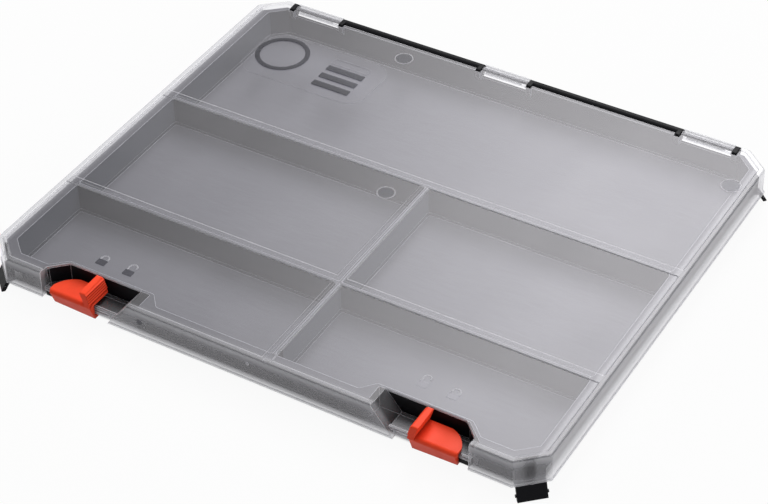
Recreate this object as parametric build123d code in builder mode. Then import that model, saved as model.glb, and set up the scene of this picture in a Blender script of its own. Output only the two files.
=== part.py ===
"""Shallow compartment case for saw blades: tray, hinged lid and two sliding latches.

The case stands on its four corner clips. The origin is under the middle of the case, at
the height of the clip tips: X runs along the hinge, Y from front to back, Z up.
"""
import os

from build123d import *

os.makedirs("parts", exist_ok=True)

# ---------------------------------------------------------------- driving dimensions (mm)
# Case outline, at the top of the lid
case_width = 346.0
case_depth = 291.0
front_corner = (15.0, 14.0)  # corner cut along X and along Y
back_corner = (15.0, 13.0)
case_middle = 145.5  # from the lid's front face to the origin

# Heights above the clip tips
skirt_foot = 8.4
lid_height = 17.0
lid_wall = 2.0
skirt_draft = 0.3  # the skirt stands out this much further at its foot
foot_bead = 0.5
panel_recess = 0.5  # the lid's middle panel lies this far below its edge
panel_edge = 3.2

# Tray
tray_inset = 4.3  # from the lid's outline to the tray's rim
tray_half_width = 164.0  # inside of the side walls
tray_front = 10.0  # inside of the front wall, from the lid's front face
tray_back = 285.0
tray_corner = (10.0, 9.0)
tray_wall = 1.7
tray_depth = 18.0
floor_thickness = 2.0
core_corner = 2.0  # radius of a compartment's upright corners
floor_edge = 1.2
rim_thickness = 1.8
rim_drop = 9.0  # depth of the rolled rim, from its top
flange_wall = 1.6
lid_clearance = 0.2  # between the tray's rim and the lid

# Dividers between the compartments
divider_wall = 1.8
front_divider = 75.5  # middle of each divider, from the lid's front face
back_divider = 171.4
middle_divider = 11.75  # from the middle of the case, along X
tongue_height = 0.5
bead_width = 6.0
channel_width = 4.0
channel_depth = 0.8

# Latch notch in the lid, and the pocket behind it in the tray
notch_inner = 76.0  # at the top of the lid
notch_inner_low = 86.0  # at the shelf
notch_outer = 133.5
notch_depth = 15.5
notch_slant = (9.5, 9.2)
notch_wall = 1.8
ramp_wall = 2.2  # along X
shelf_top = 4.4  # above the skirt's foot
shelf_thickness = 1.3
sill_front = 2.4  # low wall that closes the shelf's front
sill_depth = 1.6
sill_top = 4.9
pocket_inner = 72.0
pocket_outer = 136.0
pocket_depth = 16.4
pocket_slant = (10.7, 9.8)
ledge_top = 0.6
ledge_thickness = 1.6
ledge_front = 5.8
ledge_end = 133.0
lug_start = 117.2
lug_heights = (-0.6, 2.4)
lug_depths = (2.5, 4.8)

# Latch, in its locked place on the right
latch_inner = 98.9
latch_outer = 127.6
latch_back = 13.9
latch_front = -2.5  # where the plate's top would meet the skirt without their fold
latch_top = 8.4
latch_plate = 1.4
arc_start = 117.0  # of the plate's rounded end, along its back
arc_middle = (124.3, 9.2)
arc_end = 3.4
fold_radius = 2.0
skirt_wall = 1.5  # along Y
skirt_start = 99.8
skirt_end = 126.6
skirt_low = (1.75, -3.3)  # front of the skirt's foot: distance behind the lid's front, and height
skirt_rise = 1.6  # of the skirt's foot, from its inner end to its outer end
hook_back = 4.9
hook_top = -0.9
web_back = 2.2
web_foot = -0.4
latch_travel = 10.0
fin_foot = (99.5, 103.0)
fin_head = (101.9, 105.5)
fin_ends = (-2.1, 14.5)
fin_tops = (16.1, 16.8)  # at its front, and at its back
fin_round = 1.0
grip_ribs = 5
rib_pitch = 1.3
rib_height = 0.6
foot_start = 112.0
foot_length = 10.0
foot_middle = 8.0
slot_width = 4.0
slot_clearance = 0.3

# Hinge
hinge_y = 288.4  # axis, from the lid's front face
hinge_z = 14.6  # axis, above the skirt's foot
bar_radius = 1.0
clip_clearance = 0.05
knuckle_radius = 2.9
clip_mouth = 1.6
arm_width = 2.8
arm_front = 282.8
ear_middle = 151.0
strip_inner = 15.8
strip_outer = 116.5
hinge_gap = 0.4
hinge_notch = 11.3  # top of the tray's wall under the lid's clips
slit_length = 24.0
slit_width = 1.0
slit_y = 283.8

# Corner clips
clip_width = 16.0
clip_thickness = 2.0
clip_reach = 4.5  # tips beyond the lid's corner face
clip_tops = {-1: 13.0, 1: 11.0}  # at the front, and at the back, where the lid turns past
nub_radius = 0.9


def place_y(distance):
    """Y of a point at this distance behind the lid's front face."""
    return distance - case_middle


def place_z(height):
    """Z of a point at this height above the skirt's foot."""
    return height + skirt_foot


def level(height):
    """Horizontal plane at this height above the skirt's foot."""
    return Plane.XY.offset(place_z(height))


def outline(half_width, front, back, front_cut, back_cut):
    """Rectangle with its four corners cut, as a face in the sketch."""
    points = [
        (half_width, place_y(front + front_cut[1])),
        (half_width, place_y(back - back_cut[1])),
        (half_width - back_cut[0], place_y(back)),
        (-half_width + back_cut[0], place_y(back)),
        (-half_width, place_y(back - back_cut[1])),
        (-half_width, place_y(front + front_cut[1])),
        (-half_width + front_cut[0], place_y(front)),
        (half_width - front_cut[0], place_y(front)),
    ]
    Polygon(*points, align=None)


def case_outline(inset):
    """The lid's outline, moved inwards by inset."""
    outline(case_width / 2, 0, case_depth, front_corner, back_corner)
    if inset:
        offset(amount=-inset, kind=Kind.INTERSECTION)


def tray_outline(grow):
    """The inside of the tray's walls, moved outwards by grow."""
    outline(tray_half_width, tray_front, tray_back, tray_corner, tray_corner)
    if grow:
        offset(amount=grow, kind=Kind.INTERSECTION)


def block(x_range, y_range, z_range, mode=Mode.ADD):
    """Box between two corners; y from the lid's front face, z from the skirt's foot."""
    size = [high - low for low, high in (x_range, y_range, z_range)]
    middle = (sum(x_range) / 2, place_y(sum(y_range) / 2), place_z(sum(z_range) / 2))
    with Locations(middle):
        Box(*size, mode=mode)


def plan_points(points, side):
    """Plan points given for the right side, mirrored for side -1."""
    return [(side * x, place_y(y)) for x, y in points]


def section_plane(x):
    """Plane across the case at x, with Y to the right and Z up."""
    return Plane(origin=(x, 0, 0), x_dir=(0, 1, 0), z_dir=(1, 0, 0))


def front_plane(y):
    """Upright plane facing the front, with X to the right and Z up."""
    return Plane(origin=(0, place_y(y), place_z(0)), x_dir=(1, 0, 0), z_dir=(0, -1, 0))


def plan_polygon(points, side):
    """Plan outline as a face in the sketch, mirrored for side -1."""
    Polygon(*plan_points(points, side), align=None)


def section_polygon(points):
    """Section across the case as a face in the sketch, from (y, z) pairs."""
    Polygon(*[(place_y(y), place_z(z)) for y, z in points], align=None)


# ---------------------------------------------------------------- compartments
compartment_top = lid_height - lid_wall - lid_clearance
half_divider = divider_wall / 2
slant_run = pocket_slant[0] / pocket_slant[1]
pocket_edge = pocket_depth + tray_wall
slant_back = pocket_outer - pocket_slant[0] + 0.6 * tray_wall
slant_front = slant_back + slant_run * (pocket_edge - tray_front)
pocket_gusset = 7.0


def front_compartment(side):
    """Plan of a front compartment, which bends round its latch pocket."""
    inner_end = side * middle_divider + half_divider
    return plan_points(
        [
            (inner_end, front_divider - half_divider),
            (tray_half_width, front_divider - half_divider),
            (tray_half_width, tray_front + tray_corner[1]),
            (tray_half_width - tray_corner[0], tray_front),
            (slant_front, tray_front),
            (slant_back, pocket_edge),
            (pocket_inner - tray_wall, pocket_edge),
            (pocket_inner - tray_wall - pocket_gusset, tray_front),
            (inner_end, tray_front),
        ],
        side,
    )


def middle_compartment(side):
    """Plan of a middle compartment."""
    inner_end = side * middle_divider + half_divider
    return plan_points(
        [
            (inner_end, front_divider + half_divider),
            (tray_half_width, front_divider + half_divider),
            (tray_half_width, back_divider - half_divider),
            (inner_end, back_divider - half_divider),
        ],
        side,
    )


back_compartment = plan_points(
    [
        (-tray_half_width, back_divider + half_divider),
        (tray_half_width, back_divider + half_divider),
        (tray_half_width, tray_back - tray_corner[1]),
        (tray_half_width - tray_corner[0], tray_back),
        (-tray_half_width + tray_corner[0], tray_back),
        (-tray_half_width, tray_back - tray_corner[1]),
    ],
    1,
)

compartment_plans = [back_compartment]
for side in (-1, 1):
    compartment_plans.append(middle_compartment(side))
    compartment_plans.append(front_compartment(side))

floor_top = compartment_top - tray_depth
cores = []
for plan in compartment_plans:
    with BuildPart() as core:
        with BuildSketch(level(compartment_top)):
            Polygon(*plan, align=None)
        extrude(amount=-tray_depth, taper=1)
        fillet(core.edges().filter_by(lambda edge: edge.bounding_box().size.Z > 10), core_corner)
        chamfer(core.faces().sort_by(Axis.Z)[0].edges(), floor_edge)
    cores.append(core.part)

# ---------------------------------------------------------------- tray
floor_under = floor_top - floor_thickness
wall_top = compartment_top - rim_thickness


def latch_pocket(side):
    """Plan of the room for a latch in front of the tray's wall."""
    return plan_points(
        [
            (pocket_inner, -5),
            (pocket_inner, pocket_depth),
            (pocket_outer - pocket_slant[0], pocket_depth),
            (pocket_outer, pocket_depth - pocket_slant[1]),
            (pocket_outer, -5),
        ],
        side,
    )


def clip_plane(side, end):
    """Plane across a corner: X outwards from the lid's corner face, Y up, Z along the corner."""
    cut_x, cut_y = front_corner if end < 0 else back_corner
    near_y = 0 if end < 0 else case_depth
    middle = (side * (case_width / 2 - cut_x / 2), place_y(near_y - end * cut_y / 2))
    outward = Vector(side * cut_y, end * cut_x, 0).normalized()
    along = outward.cross(Vector(0, 0, 1))
    return Plane(origin=(middle[0], middle[1], place_z(0)), x_dir=outward, z_dir=along)


def clip_profile(end):
    """Section of a corner clip: a post behind the skirt and a blade that flares out under it."""
    root = clip_tops[end]
    tip = -skirt_foot
    return [
        (-tray_inset - 0.4, root),
        (-lid_wall - 0.5, root),
        (-lid_wall - 0.5, 0.2),
        (0.2, -0.9),
        (clip_reach, tip),
        (clip_reach - 1.2 * clip_thickness, tip),
        (-1.4, -2.6),
        (-tray_inset - 0.4, -1.6),
    ]


strips = [(-strip_outer, -strip_inner), (strip_inner, strip_outer)]
gaps = [
    (-ear_middle + arm_width / 2, -strip_outer),
    (-strip_inner, strip_inner),
    (strip_outer, ear_middle - arm_width / 2),
]
arm_middles = [-ear_middle, ear_middle]
for low, high in strips:
    arm_middles += [low + arm_width / 2, high - arm_width / 2]

with BuildPart() as tray:
    # Tub, with a slight draft on its walls
    with BuildSketch(level(floor_under)):
        tray_outline(tray_wall - 0.3)
    with BuildSketch(level(compartment_top)):
        tray_outline(tray_wall)
    loft(ruled=True)
    fillet(tray.faces().sort_by(Axis.Z)[0].edges(), 1.8)

    # Rolled rim: a flat top and a flange that hangs outside the wall
    with BuildSketch(level(wall_top)):
        case_outline(tray_inset)
    extrude(amount=rim_thickness)
    with BuildSketch(level(compartment_top - rim_drop)):
        case_outline(tray_inset)
        offset(amount=-flange_wall, mode=Mode.SUBTRACT, kind=Kind.INTERSECTION)
    extrude(amount=rim_drop - rim_thickness)

    # Webs that stiffen the front of the rim
    for x in (-40, -20, 0, 20, 40):
        block((x - 0.7, x + 0.7), (tray_inset + 0.5, tray_front - 1), (wall_top - 5, wall_top))

    # Room for the latches, closed at its ends
    for side in (-1, 1):
        for wall_end, outward in ((pocket_inner, -1), (pocket_outer, 1)):
            ends = sorted((side * wall_end, side * (wall_end + outward * tray_wall)))
            block(ends, (tray_inset, tray_front), (wall_top - 6, compartment_top))
        with BuildSketch(level(floor_under - 1)):
            Polygon(*latch_pocket(side), align=None)
        extrude(amount=floor_thickness + tray_depth + 3, mode=Mode.SUBTRACT)

    # Compartments
    for core in cores:
        add(core, mode=Mode.SUBTRACT)

    # Tongues on the dividers, which reach into the lid's channels
    for middle in (front_divider, back_divider):
        block(
            (-tray_half_width + 1, tray_half_width - 1),
            (middle - 0.7, middle + 0.7),
            (compartment_top - 0.1, compartment_top + tongue_height),
        )
    block(
        (middle_divider - 0.7, middle_divider + 0.7),
        (tray_front, back_divider),
        (compartment_top - 0.1, compartment_top + tongue_height),
    )

    # Ledges under the lid's shelves, each with the lug that its latch hooks under
    for side in (-1, 1):
        with BuildSketch(level(ledge_top)):
            plan_polygon(
                [
                    (pocket_inner - 1, ledge_front),
                    (pocket_inner - 1, pocket_depth + 1),
                    (pocket_outer - pocket_slant[0] + 0.5, pocket_depth + 1),
                    (ledge_end, pocket_depth - 6),
                    (ledge_end, ledge_front),
                ],
                side,
            )
        extrude(amount=-ledge_thickness)
        with BuildSketch(section_plane(side * lug_start)):
            section_polygon(
                [
                    (lug_depths[0], lug_heights[0]),
                    (ledge_front + 0.1, lug_heights[0]),
                    (ledge_front + 0.1, ledge_top),
                    (lug_depths[1], ledge_top),
                    (lug_depths[1], lug_heights[1]),
                    (lug_depths[0], lug_heights[1]),
                ]
            )
        extrude(amount=side * (ledge_end - lug_start))

    # Hinge: the wall is notched under the lid's clips, and arms carry the bars above it
    for low, high in gaps:
        block(
            (low, high),
            (tray_back - 4, tray_back + 3),
            (hinge_notch, compartment_top + 1),
            mode=Mode.SUBTRACT,
        )
    for low, high in strips:
        with BuildSketch(section_plane(low)):
            with Locations((place_y(hinge_y), place_z(hinge_z))):
                Circle(knuckle_radius)
            section_polygon(
                [
                    (tray_back + 0.4, hinge_z),
                    (tray_back + 0.4, hinge_z - 6),
                    (tray_back + 1.6, hinge_z - 6),
                    (hinge_y + 1.5, hinge_z - 2.2),
                    (hinge_y, hinge_z),
                ]
            )
        extrude(amount=high - low)
    for middle in arm_middles:
        with BuildSketch(section_plane(middle)):
            with Locations((place_y(hinge_y), place_z(hinge_z))):
                Circle(knuckle_radius)
            section_polygon(
                [
                    (hinge_y, hinge_z + knuckle_radius),
                    (arm_front + 0.8, hinge_z + 2.7),
                    (arm_front, hinge_z + 1.9),
                    (arm_front, hinge_z - 2.6),
                    (tray_back + 0.4, hinge_z - 6),
                    (tray_back + 1.4, hinge_z - 6),
                    (hinge_y + 1.5, hinge_z - 2.2),
                    (hinge_y, hinge_z),
                ]
            )
        extrude(amount=arm_width / 2, both=True)
    for low, high in gaps:
        with BuildSketch(section_plane(low - 0.5)):
            with Locations((place_y(hinge_y), place_z(hinge_z))):
                Circle(bar_radius)
        extrude(amount=high - low + 1)

    # Corner clips, which also carry the case when it lies on a bench
    for side in (-1, 1):
        for end in (-1, 1):
            with BuildSketch(clip_plane(side, end)) as clip:
                Polygon(*clip_profile(end), align=None)
                fillet(clip.vertices().group_by(Axis.Z)[0], 0.4)
            extrude(amount=clip_width / 2, both=True)
            with BuildSketch(clip_plane(side, end)):
                with Locations((1.65, -5.6)):
                    Circle(nub_radius)
            extrude(amount=clip_width / 2 + 0.7, both=True)

tray.part.label = "tray"

# ---------------------------------------------------------------- lid
ramp = (notch_inner_low - notch_inner) / (lid_height - shelf_top)


def ramp_x(height):
    """X of the notch's sloping inner side at this height."""
    return notch_inner + ramp * (lid_height - height)


notch_cores = []
for side in (-1, 1):
    with BuildPart() as notch_core:
        with BuildSketch(front_plane(-5)):
            Polygon(
                (side * ramp_x(lid_height + 1), lid_height + 1),
                (side * notch_inner_low, shelf_top),
                (side * notch_outer, shelf_top),
                (side * notch_outer, lid_height + 1),
                align=None,
            )
        extrude(amount=-5 - notch_depth)
        with BuildSketch(level(0)) as plan:
            plan_polygon(
                [
                    (notch_inner - 5, -6),
                    (notch_inner - 5, notch_depth),
                    (notch_outer - notch_slant[0], notch_depth),
                    (notch_outer, notch_depth - notch_slant[1]),
                    (notch_outer, -6),
                ],
                side,
            )
            fillet(plan.vertices().sort_by(Axis.Y)[2:], 3.0)
        extrude(amount=lid_height + 2, mode=Mode.INTERSECT)
    notch_cores.append(notch_core.part)

panel_top = lid_height - panel_recess
tray_rim_end = case_width / 2 - lid_wall - 0.2
under_top = lid_height - lid_wall

with BuildPart() as lid:
    # Shell with drafted skirt and softened top edge
    with BuildSketch(level(0)):
        case_outline(-skirt_draft)
    with BuildSketch(level(lid_height)):
        case_outline(0)
    loft(ruled=True)
    fillet(lid.edges().filter_by(lambda edge: edge.bounding_box().size.Z > 10), 3.0)
    fillet(lid.faces().sort_by(Axis.Z)[-1].edges(), 1.2)
    with BuildSketch(level(0)):
        case_outline(lid_wall - skirt_draft)
    with BuildSketch(level(under_top)):
        case_outline(lid_wall)
    loft(ruled=True, mode=Mode.SUBTRACT)

    # Middle panel, a little lower than the edge
    with BuildSketch(level(lid_height)) as panel:
        case_outline(panel_edge)
        fillet(panel.vertices(), 3.0)
    extrude(amount=-panel_recess, taper=45, mode=Mode.SUBTRACT)

    # Beads over the dividers, hollow underneath for the dividers' tongues
    for middle in (front_divider, back_divider):
        block(
            (-case_width / 2 + panel_edge, case_width / 2 - panel_edge),
            (middle - bead_width / 2, middle + bead_width / 2),
            (panel_top - 0.1, lid_height),
        )
        block(
            (-tray_half_width, tray_half_width),
            (middle - channel_width / 2, middle + channel_width / 2),
            (under_top - 1, under_top + channel_depth),
            mode=Mode.SUBTRACT,
        )
    block(
        (middle_divider - bead_width / 2, middle_divider + bead_width / 2),
        (panel_edge, back_divider),
        (panel_top - 0.1, lid_height),
    )
    block(
        (middle_divider - channel_width / 2, middle_divider + channel_width / 2),
        (lid_wall, back_divider),
        (under_top - 1, under_top + channel_depth),
        mode=Mode.SUBTRACT,
    )

    # Bead round the skirt's foot
    with BuildSketch(level(0)):
        case_outline(-skirt_draft - foot_bead)
        offset(amount=-foot_bead - 1, mode=Mode.SUBTRACT, kind=Kind.INTERSECTION)
    extrude(amount=1.2)

    # Latch notches: the plate and the skirt are open, and a shelf carries the latch
    for side, notch_core in zip((-1, 1), notch_cores):
        with BuildSketch(front_plane(-5)):
            Polygon(
                (side * ramp_x(lid_height + 1), lid_height + 1),
                (side * ramp_x(0), 0),
                (side * ramp_x(0), -1),
                (side * notch_outer, -1),
                (side * notch_outer, lid_height + 1),
                align=None,
            )
        extrude(amount=-5 - sill_front, mode=Mode.SUBTRACT)
        add(notch_core, mode=Mode.SUBTRACT)

        shelf_under = shelf_top - shelf_thickness
        with BuildSketch(front_plane(notch_depth)):
            Polygon(
                (side * ramp_x(lid_height - 1), lid_height - 1),
                (side * notch_inner_low, shelf_top),
                (side * notch_inner_low, shelf_under),
                (side * (ramp_x(shelf_under) - ramp_wall), shelf_under),
                (side * (ramp_x(lid_height - 1) - ramp_wall), lid_height - 1),
                align=None,
            )
        extrude(amount=notch_depth)
        with BuildSketch(front_plane(sill_front + sill_depth)):
            Polygon(
                (side * ramp_x(shelf_top), shelf_top),
                (side * ramp_x(0), 0),
                (side * (ramp_x(0) - ramp_wall), 0),
                (side * (ramp_x(shelf_top) - ramp_wall), shelf_top),
                align=None,
            )
        extrude(amount=sill_front + sill_depth)
        with BuildSketch(level(shelf_under)):
            plan_polygon(
                [
                    (notch_inner_low - 1, sill_front),
                    (notch_inner_low - 1, notch_depth),
                    (notch_outer - notch_slant[0] + 1, notch_depth),
                    (notch_outer + 1, notch_depth - notch_slant[1]),
                    (notch_outer + 1, sill_front),
                ],
                side,
            )
        extrude(amount=shelf_thickness)
        with BuildSketch(level(0)):
            plan_polygon(
                [
                    (notch_outer, 0),
                    (notch_outer, notch_depth - notch_slant[1]),
                    (notch_outer + notch_wall, notch_depth - notch_slant[1] + 0.6),
                    (notch_outer + notch_wall, 0),
                ],
                side,
            )
        extrude(amount=lid_height - 1)

        # Sill along the shelf's front, slotted over its inner half, and bridging the lug
        sill_ends = sorted((side * (notch_inner_low - 1), side * (notch_outer + 1)))
        block(sill_ends, (sill_front, sill_front + sill_depth), (shelf_under, sill_top))
        sill_ends = sorted((side * (ramp_x(0) - 1), side * (lug_start - 0.3)))
        block(sill_ends, (sill_front, sill_front + sill_depth), (0, shelf_under))
        slot_ends = sorted((side * (ramp_x(0) + 1), side * (lug_start - 2)))
        block(slot_ends, (0, sill_front + sill_depth + 1), (shelf_under - 1.4, shelf_under), Mode.SUBTRACT)
        bridge_ends = sorted((side * (lug_start - 1), side * (notch_outer + 1)))
        block(bridge_ends, (sill_front, sill_front + sill_depth), (lug_heights[1] + 0.2, shelf_under))

        # Slot that the latch's foot runs in
        run_ends = sorted(
            (
                side * (foot_start - latch_travel - slot_clearance),
                side * (foot_start + foot_length + slot_clearance),
            )
        )
        block(
            run_ends,
            (foot_middle - slot_width / 2, foot_middle + slot_width / 2),
            (0, shelf_top + 1),
            Mode.SUBTRACT,
        )

    # The skirt stops short of the hinge, so that the lid can turn past the tray's wall
    block(
        (-tray_rim_end, tray_rim_end),
        (case_depth - back_corner[1] - 6, case_depth + 5),
        (-1, under_top),
        Mode.SUBTRACT,
    )

    # Room for the tray's strips and arms
    for low, high in strips:
        block(
            (low - hinge_gap, high + hinge_gap),
            (hinge_y - knuckle_radius - 0.3, case_depth + 5),
            (0, lid_height + 1),
            Mode.SUBTRACT,
        )
    for middle in arm_middles:
        block(
            (middle - arm_width / 2 - hinge_gap, middle + arm_width / 2 + hinge_gap),
            (arm_front - 0.5, case_depth + 5),
            (0, lid_height + 1),
            Mode.SUBTRACT,
        )

    # Clips that snap over the hinge bars, each with a slit in front of it
    for low, high in gaps:
        clip_length = high - low - 2 * hinge_gap
        with BuildSketch(section_plane(low + hinge_gap)):
            with Locations((place_y(hinge_y), place_z(hinge_z))):
                Circle(knuckle_radius)
            section_polygon(
                [
                    (hinge_y - knuckle_radius, hinge_z),
                    (hinge_y - knuckle_radius, lid_height),
                    (hinge_y + 0.8 * knuckle_radius, lid_height),
                    (hinge_y + knuckle_radius, hinge_z + 1),
                    (hinge_y + knuckle_radius, hinge_z),
                ]
            )
        extrude(amount=clip_length)
        with BuildSketch(section_plane(low)):
            with Locations((place_y(hinge_y), place_z(hinge_z))):
                Circle(bar_radius + clip_clearance)
            with Locations((place_y(hinge_y), place_z(hinge_z + 2.5))):
                Rectangle(clip_mouth, 5)
        extrude(amount=high - low, mode=Mode.SUBTRACT)
        middle = (low + high) / 2
        block(
            (middle - slit_length / 2, middle + slit_length / 2),
            (slit_y - slit_width / 2, slit_y + slit_width / 2),
            (under_top - 1, lid_height + 1),
            Mode.SUBTRACT,
        )

lid.part.label = "lid"

# ---------------------------------------------------------------- latches
plate_under = latch_top - latch_plate
skirt_slope = (skirt_low[0] - latch_front) / (latch_top - skirt_low[1])


def skirt_inside(height):
    """Distance of the skirt's inner face behind the lid's front face, at this height."""
    return latch_front + skirt_wall + skirt_slope * (latch_top - height)


def rib_profile():
    """The fin's ribbed inner face, from its foot to its head, as (x, z) pairs."""
    rise = fin_tops[1] - latch_top
    slope = (fin_head[0] - fin_foot[0]) / rise
    points = []
    for rib in range(grip_ribs):
        height = latch_top + 1.0 + rib * rib_pitch
        for step, depth in ((0, 0), (0.3, rib_height), (0.7, rib_height), (1.0, 0)):
            points.append((fin_foot[0] + slope * (height + step - latch_top) - depth, height + step))
    return points


# Thumb fin, ribbed on the side that the thumb pushes
with BuildPart() as fin:
    with BuildSketch(front_plane(fin_ends[1])):
        Polygon(
            (fin_foot[0], plate_under),
            *rib_profile(),
            (fin_head[0], fin_tops[1] - 0.6),
            (fin_head[0] + 0.6, fin_tops[1] + 0.1),
            (fin_head[1] - 0.5, fin_tops[1] + 0.1),
            (fin_head[1], fin_tops[1] - 0.5),
            (fin_foot[1], latch_top - 0.5),
            (fin_foot[1], plate_under),
            align=None,
        )
    extrude(amount=fin_ends[1] - fin_ends[0])
    with BuildSketch(section_plane(latch_inner - 3)) as fin_side:
        section_polygon(
            [
                (fin_ends[0], plate_under),
                (fin_ends[0], fin_tops[0]),
                (fin_ends[1], fin_tops[1]),
                (fin_ends[1], plate_under),
            ]
        )
        fillet(fin_side.vertices().sort_by(Axis.Y)[2:], fin_round)
    extrude(amount=12, mode=Mode.INTERSECT)

with BuildPart() as latch_right:
    # Plate, folded down into a skirt that hooks under the tray's lug
    with BuildSketch(section_plane(latch_inner)) as wrap:
        section_polygon(
            [
                (latch_back, latch_top),
                (latch_front, latch_top),
                skirt_low,
                (hook_back, skirt_low[1]),
                (hook_back, hook_top),
                (skirt_inside(hook_top), hook_top),
                (skirt_inside(plate_under), plate_under),
                (latch_back, plate_under),
            ]
        )
        fillet(wrap.vertices().sort_by(Axis.X)[0], fold_radius)
    extrude(amount=latch_outer - latch_inner)

    # Its outline from above has a rounded outer end, and the skirt is a little shorter
    with BuildSketch(level(skirt_low[1])):
        with BuildLine():
            Polyline(
                *plan_points(
                    [
                        (skirt_end, latch_front),
                        (latch_inner, latch_front),
                        (latch_inner, latch_back),
                        (arc_start, latch_back),
                    ],
                    1,
                )
            )
            ThreePointArc(
                *plan_points([(arc_start, latch_back), arc_middle, (latch_outer, arc_end)], 1)
            )
            Polyline(
                *plan_points([(latch_outer, arc_end), (latch_outer, 0.2), (skirt_end, latch_front)], 1)
            )
        make_face()
    extrude(amount=latch_top - skirt_low[1], mode=Mode.INTERSECT)
    for low, high in ((latch_inner - 1, skirt_start), (skirt_end, latch_outer + 1)):
        block(
            (low, high),
            (latch_front - 1, hook_back + 1),
            (skirt_low[1] - 1, plate_under - 1.2),
            Mode.SUBTRACT,
        )

    # Webs across the skirt's ends, and a foot that rises outwards
    for web_start in (skirt_start, skirt_end - latch_plate):
        with BuildSketch(section_plane(web_start)):
            section_polygon(
                [
                    (skirt_inside(plate_under) - 0.5, plate_under + 0.1),
                    (skirt_inside(web_foot) - 0.5, web_foot),
                    (web_back, web_foot),
                    (web_back, plate_under + 0.1),
                ]
            )
        extrude(amount=latch_plate)
    with BuildSketch(front_plane(hook_back + 1)):
        Polygon(
            (skirt_start, skirt_low[1]),
            (skirt_start, skirt_low[1] - 1),
            (skirt_end + 1, skirt_low[1] - 1),
            (skirt_end + 1, skirt_low[1] + skirt_rise),
            align=None,
        )
    extrude(amount=hook_back + 3, mode=Mode.SUBTRACT)

    # Runners that ride on the sill and on the shelf
    block((skirt_start + 2, skirt_end - 1), (2.6, 3.8), (sill_top + 0.1, plate_under + 0.1))
    block((skirt_start + 2, arc_start), (12.2, 13.4), (shelf_top + 0.1, plate_under + 0.1))

    add(fin.part)

    # Snap foot: two prongs with barbs under the shelf
    with BuildSketch(section_plane(foot_start)):
        for hand in (-1, 1):
            section_polygon(
                [
                    (foot_middle + hand * 0.4, plate_under + 0.1),
                    (foot_middle + hand * 1.7, plate_under + 0.1),
                    (foot_middle + hand * 1.7, shelf_top - shelf_thickness - 0.3),
                    (foot_middle + hand * 2.7, shelf_top - shelf_thickness - 0.5),
                    (foot_middle + hand * 1.3, ledge_top + 0.5),
                    (foot_middle + hand * 0.4, ledge_top + 0.5),
                ]
            )
    extrude(amount=foot_length)

latch_right.part.label = "latch_right"

with BuildPart() as latch_left:
    mirror(latch_right.part, about=Plane.YZ)

latch_left.part.label = "latch_left"

for piece in (tray, lid, latch_left, latch_right):
    export_step(piece.part, f"parts/{piece.part.label}.step")
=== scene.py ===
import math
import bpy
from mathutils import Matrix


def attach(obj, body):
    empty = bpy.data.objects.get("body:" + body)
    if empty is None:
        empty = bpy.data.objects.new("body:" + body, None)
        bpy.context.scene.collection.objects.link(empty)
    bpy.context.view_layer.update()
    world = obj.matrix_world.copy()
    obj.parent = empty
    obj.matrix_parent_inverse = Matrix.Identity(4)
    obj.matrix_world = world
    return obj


bl_info = {
    "name": "Blade Case Finisher",
    "version": (1, 0, 0),
    "blender": (4, 5, 0),
    "location": "3D View > Sidebar > Blade Case",
    "description": "Finishes a hinged blade case: frosted lid, black tray and red latches",
    "category": "Object",
}

import bmesh
import bpy
from bpy.props import FloatProperty, FloatVectorProperty, PointerProperty
from mathutils import Matrix, Vector

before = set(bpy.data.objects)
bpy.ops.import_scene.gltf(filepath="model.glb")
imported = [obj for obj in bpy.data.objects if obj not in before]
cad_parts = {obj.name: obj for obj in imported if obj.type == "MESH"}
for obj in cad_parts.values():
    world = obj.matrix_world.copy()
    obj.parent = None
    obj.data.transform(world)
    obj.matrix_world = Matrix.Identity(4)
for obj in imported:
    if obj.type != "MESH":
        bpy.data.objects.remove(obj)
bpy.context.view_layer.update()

MM = 0.001

# Heights and depths of the mouldings, in mm
FRONT_FACE = 145.5  # from the middle of the case to the lid's front face
SKIRT_FOOT = 8.4  # from the clips' tips up to the foot of the lid's skirt
PANEL_TOP = 16.5  # from the skirt's foot up to the lid's middle panel
SINK = 0.05  # how deep a raised shape starts in the face under it

# Where each finish and painted light lies: two limits and a fade in mm, from the case's middle and
# the clips' tips
TUB_INSIDE = {"X": (-164.3, 164.3, 0.2), "Y": (-128.5, 139.8, 0.2), "Z": (4.0, 24.0, 0.2)}
# The tray's painted edge highlights stay inside the rim's outer edge
PAINTED_EDGE_HIGHLIGHTS = {"X": (-166.5, 166.5, 0.5), "Y": (-138.5, 141.5, 0.5), "Z": (4.0, 24.0, 0.2)}
# Heights in mm where the floors and the rims get painted light
FLOORS = (3.5, 7.5, 0.3)
RIMS = (22.8, 24.0, 0.2)
LID_OVER_TRAY = {"X": (-166, 166, 1.5), "Y": (-140, 147, 2)}
SKIRT_BANDS = ((13.0, 9.5), (20.0, 25.5))  # heights where the skirt's haze starts and is full
PAPER_SHADE = {"X": (-169, 165, 3), "Y": (-134, 141, 3)}

# Sign panel, in mm: x from the middle, y from the lid's front face
PANEL = {"x_range": (-149, -62), "y_range": (214, 259), "radius": 12}
RING_CENTRE = (-130, 239.6)
BARS_X = (-98.5, -73)
BARS_Y = (241, 232.5, 224)
BAR_WIDTH = 4.8
LABEL_Y = (245.4, 251.4)
LABEL_LINE = 0.7

# Padlock signs, in mm: offsets of the shut and the open one, either side of the middle
LOCK_OFFSETS = ((109.5, True), (91.6, False))
LOCK_Y = {"left": 24.0, "right": 27.0}
LOCK_BODY = (3.0, 2.2)  # half width and half height
SHACKLE_REACH = (2.6, 2.4)  # half width and rise of its bow
SHACKLE_BAND = 0.8
SHACKLE_RISE = 3.6  # from the body's middle to the bow's foot
SHACKLE_LIFT = 1.6  # how much higher the open one stands
SHACKLE_TIP = 0.6  # how far the open one's free leg hangs under the bow

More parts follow.
